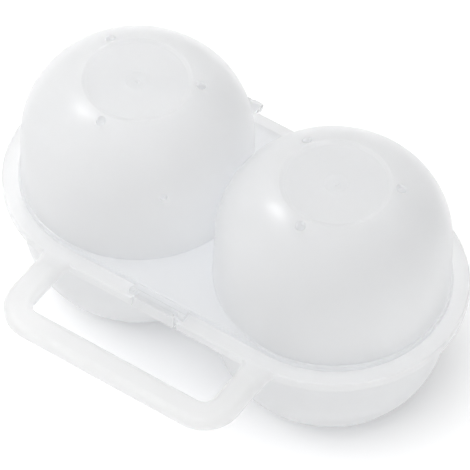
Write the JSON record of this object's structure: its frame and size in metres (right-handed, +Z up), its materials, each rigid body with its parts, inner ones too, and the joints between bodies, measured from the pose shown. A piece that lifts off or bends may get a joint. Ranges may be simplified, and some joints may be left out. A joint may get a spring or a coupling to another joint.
{
  "type": "egg keeper with flip lid",
  "caption": "Translucent egg carrier: domed pockets under a hinged lid with a snap latch, on a flanged base with matching cups and a carry handle.",
  "frame": {"origin": "centre of the outline, on the surface that the two cups stand on", "axes": "+X from the left egg to the right egg, along the length; +Y from the carry handle towards the hinge; +Z up"},
  "size_m": [0.1172, 0.088, 0.0669],
  "materials": {
    "frosted_polypropylene": "natural translucent polypropylene, softly frosted, semi-gloss outside"
  },
  "bodies": {
    "base": {"base_flange": "frosted_polypropylene", "carry_handle": "frosted_polypropylene", "left_cup": "frosted_polypropylene", "right_cup": "frosted_polypropylene", "left_inner_hinge_ear": "frosted_polypropylene", "left_outer_hinge_ear": "frosted_polypropylene", "right_inner_hinge_ear": "frosted_polypropylene", "right_outer_hinge_ear": "frosted_polypropylene"},
    "lid": {"lid_plate": "frosted_polypropylene", "left_dome": "frosted_polypropylene", "right_dome": "frosted_polypropylene", "left_hinge_knuckle": "frosted_polypropylene", "right_hinge_knuckle": "frosted_polypropylene"},
    "latch": {"latch_flap": "frosted_polypropylene"}
  },
  "joints": [
    {"name": "lid_hinge", "type": "hinge", "parent": "base", "child": "lid", "pos_m": [0, 0.0426, 0.0339], "axis": [-1, 0, 0], "range_deg": [0, 180]},
    {"name": "latch_bend", "type": "hinge", "parent": "lid", "child": "latch", "pos_m": [-0.0008, -0.02095, 0.0355], "axis": [-1, 0, 0], "range_deg": [0, 90], "stiffness_Nm_per_rad": 0.004}
  ]
}
